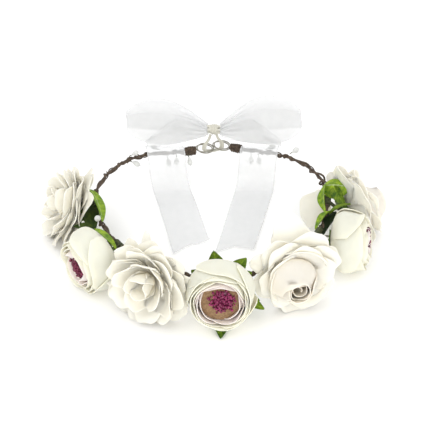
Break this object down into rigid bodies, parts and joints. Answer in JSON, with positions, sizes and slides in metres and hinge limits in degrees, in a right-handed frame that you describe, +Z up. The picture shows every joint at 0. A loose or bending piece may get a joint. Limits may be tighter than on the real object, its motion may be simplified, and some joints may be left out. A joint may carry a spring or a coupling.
{
  "type": "flower crown",
  "caption": "Wire headband ring covered with artificial white flowers, leaves and buds, closed at the back by a sheer ribbon bow with two loose tails.",
  "frame": {"origin": "middle of the head opening, on the plane that the crown lies on", "axes": "+Z up, away from the plane the crown lies on; +X along its width, ear to ear; -Y towards the front flower and +Y towards the bow"},
  "size_m": [0.2535, 0.2278, 0.0633],
  "materials": {
    "steel_wire": "drawn",
    "eyelet_wire": "twisted, part wrapped",
    "brown_paper_wrap": "spirally wrapped, matte",
    "floral_tape": "waxed crepe",
    "ivory_petals": "pressed satin cloth",
    "white_petals": "pressed matte cloth",
    "plum_stamens": "dipped thread",
    "green_leaves": "pressed cloth",
    "calyx_green": "moulded",
    "bud_white": "pearly",
    "organza": "sheer plain weave"
  },
  "bodies": {
    "crown": {"band_core_wire": "steel_wire", "band_paper_wrap": "brown_paper_wrap", "band_twin_strand": "brown_paper_wrap", "left_eyelet": "eyelet_wire", "left_eyelet_whipping": "brown_paper_wrap", "right_eyelet": "eyelet_wire", "right_eyelet_whipping": "brown_paper_wrap", "left_back_ruffle_back_petals": "white_petals", "left_back_ruffle_middle_petals": "white_petals", "left_back_ruffle_front_petals": "white_petals", "left_back_ruffle_heart": "white_petals", "left_camellia_outer_petals": "ivory_petals", "left_camellia_middle_petals": "ivory_petals", "left_camellia_inner_petals": "ivory_petals", "left_camellia_stamens": "plum_stamens", "left_front_ruffle_back_petals": "white_petals", "left_front_ruffle_middle_petals": "white_petals", "left_front_ruffle_front_petals": "white_petals", "left_front_ruffle_heart": "white_petals", "front_camellia_outer_petals": "ivory_petals", "front_camellia_middle_petals": "ivory_petals", "front_camellia_inner_petals": "ivory_petals", "front_camellia_stamens": "plum_stamens", "right_front_rose_back_petals": "white_petals", "right_front_rose_middle_petals": "white_petals", "right_front_rose_front_petals": "white_petals", "right_front_rose_heart": "white_petals", "right_camellia_outer_petals": "ivory_petals", "right_camellia_middle_petals": "ivory_petals", "right_camellia_inner_petals": "ivory_petals", "right_camellia_stamens": "plum_stamens", "right_back_rose_back_petals": "white_petals", "right_back_rose_middle_petals": "white_petals", "right_back_rose_front_petals": "white_petals", "right_back_rose_heart": "white_petals", "front_sepals": "green_leaves", "flower_calyxes": "calyx_green", "flower_stem_wires": "steel_wire", "stem_tape_bindings": "floral_tape", "left_leaves": "green_leaves", "right_leaves": "green_leaves", "white_buds": "bud_white", "bud_stalk_wires": "floral_tape", "bow_knot": "organza", "eyelet_tie": "organza", "bow_loop_left": "organza", "tail_root_left": "organza", "bow_loop_right": "organza", "tail_root_right": "organza"},
    "tail_left": {"ribbon_tail_left": "organza"},
    "tail_right": {"ribbon_tail_right": "organza"}
  },
  "joints": [
    {"name": "tail_left_lift", "type": "hinge", "parent": "crown", "child": "tail_left", "pos_m": [-0.0385, 0.0776, 0.0296], "axis": [-1, 0, 0], "range_deg": [0, 90]},
    {"name": "tail_right_lift", "type": "hinge", "parent": "crown", "child": "tail_right", "pos_m": [0.04, 0.0776, 0.0296], "axis": [-1, 0, 0], "range_deg": [0, 90]}
  ]
}
